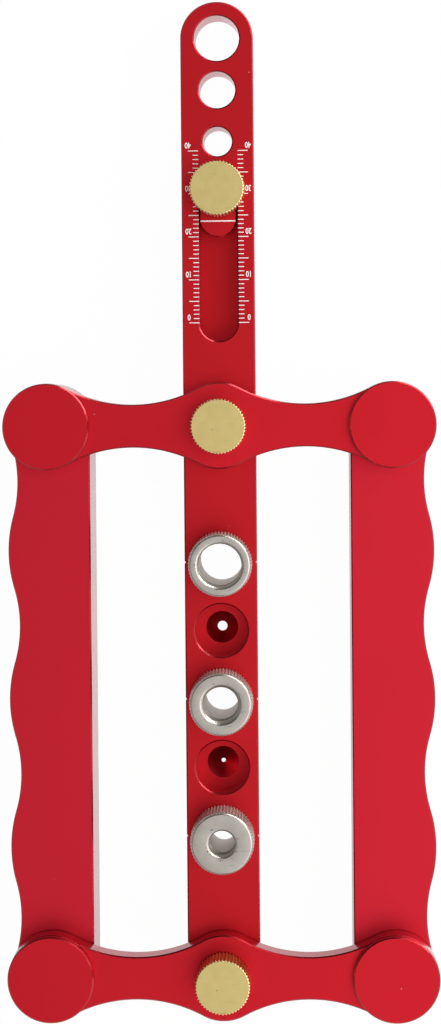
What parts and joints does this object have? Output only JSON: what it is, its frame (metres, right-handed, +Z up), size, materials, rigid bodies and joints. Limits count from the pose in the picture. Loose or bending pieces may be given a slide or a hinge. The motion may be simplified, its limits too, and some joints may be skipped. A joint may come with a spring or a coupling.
{
  "type": "self centering doweling jig",
  "caption": "Parallelogram jig that centres knurled drill bushes over a board's edge between side plates, with brass lock knobs and a sliding end stop on a scaled bar.",
  "frame": {"origin": "on the middle drill bush's axis, in the plane of the centre bar's underside, which sits on the board's edge", "axes": "+Z up out of the board along the bushes, +Y along the bar towards the scale and gauge holes, +X across the jig"},
  "size_m": [0.1, 0.2365, 0.0288],
  "materials": {
    "red_anodised": "satin red anodised",
    "nickel_plate": "nickel plated, turned and knurled",
    "brass": "turned, knurled, faintly scratched",
    "steel": "plain",
    "nylon": "natural white"
  },
  "bodies": {
    "bar": {"centre_bar": "red_anodised", "bush_10mm": "nickel_plate", "bush_8mm": "nickel_plate", "bush_6mm": "nickel_plate", "pivot_sleeves": "steel", "bar_shims": "nylon"},
    "upper_arm": {"upper_arm": "red_anodised"},
    "lower_arm": {"lower_arm": "red_anodised"},
    "left_plate": {"left_plate": "red_anodised", "upper_left_cap": "red_anodised", "lower_left_cap": "red_anodised", "left_cap_screws": "steel", "left_plate_shims": "nylon"},
    "right_plate": {"right_plate": "red_anodised", "upper_right_cap": "red_anodised", "lower_right_cap": "red_anodised", "right_cap_screws": "steel", "right_plate_shims": "nylon"},
    "stop": {"stop_slider": "red_anodised"},
    "stop_washer": {"stop_knob_washer": "steel"},
    "stop_knob": {"stop_knob": "brass"},
    "upper_washer": {"upper_knob_washer": "steel"},
    "upper_knob": {"upper_knob": "brass"},
    "lower_washer": {"lower_knob_washer": "steel"},
    "lower_knob": {"lower_knob": "brass"}
  },
  "joints": [
    {"name": "upper_arm_swing", "type": "hinge", "parent": "bar", "child": "upper_arm", "pos_m": [0, 0.064, 0.0128], "axis": [0, 0, 1], "range_deg": [-62.5, 62.5]},
    {"name": "lower_arm_swing", "type": "hinge", "parent": "bar", "child": "lower_arm", "pos_m": [0, -0.064, 0.0128], "axis": [0, 0, 1], "range_deg": [-62.5, 62.5]},
    {"name": "left_plate_swing", "type": "hinge", "parent": "upper_arm", "child": "left_plate", "pos_m": [-0.04, 0.064, 0.0128], "axis": [0, 0, 1], "range_deg": [-62.5, 62.5]},
    {"name": "right_plate_swing", "type": "hinge", "parent": "upper_arm", "child": "right_plate", "pos_m": [0.04, 0.064, 0.0128], "axis": [0, 0, 1], "range_deg": [-62.5, 62.5]},
    {"name": "stop_slide", "type": "slide", "parent": "bar", "child": "stop", "axis": [0, 1, 0], "range_m": [-0.0242, 0]},
    {"name": "stop_knob_lift", "type": "slide", "parent": "stop", "child": "stop_washer", "axis": [0, 0, 1], "range_m": [0, 0.001]},
    {"name": "stop_knob_turn", "type": "hinge", "parent": "stop_washer", "child": "stop_knob", "pos_m": [0, 0.1187, 0.0105], "axis": [0, 0, 1], "range_deg": [0, 360]},
    {"name": "upper_knob_lift", "type": "slide", "parent": "bar", "child": "upper_washer", "axis": [0, 0, 1], "range_m": [0, 0.001]},
    {"name": "upper_knob_turn", "type": "hinge", "parent": "upper_washer", "child": "upper_knob", "pos_m": [0, 0.064, 0.0158], "axis": [0, 0, 1], "range_deg": [0, 360]},
    {"name": "lower_knob_lift", "type": "slide", "parent": "bar", "child": "lower_washer", "axis": [0, 0, 1], "range_m": [0, 0.001]},
    {"name": "lower_knob_turn", "type": "hinge", "parent": "lower_washer", "child": "lower_knob", "pos_m": [0, -0.064, 0.0158], "axis": [0, 0, 1], "range_deg": [0, 360]}
  ],
  "couplings": [
    {"joint": "lower_arm_swing", "follows": "upper_arm_swing", "ratio": 1},
    {"joint": "left_plate_swing", "follows": "upper_arm_swing", "ratio": -1},
    {"joint": "right_plate_swing", "follows": "upper_arm_swing", "ratio": -1},
    {"joint": "stop_knob_lift", "follows": "stop_knob_turn", "m_per_rad": 0.000159},
    {"joint": "upper_knob_lift", "follows": "upper_knob_turn", "m_per_rad": 0.000159},
    {"joint": "lower_knob_lift", "follows": "lower_knob_turn", "m_per_rad": 0.000159}
  ]
}
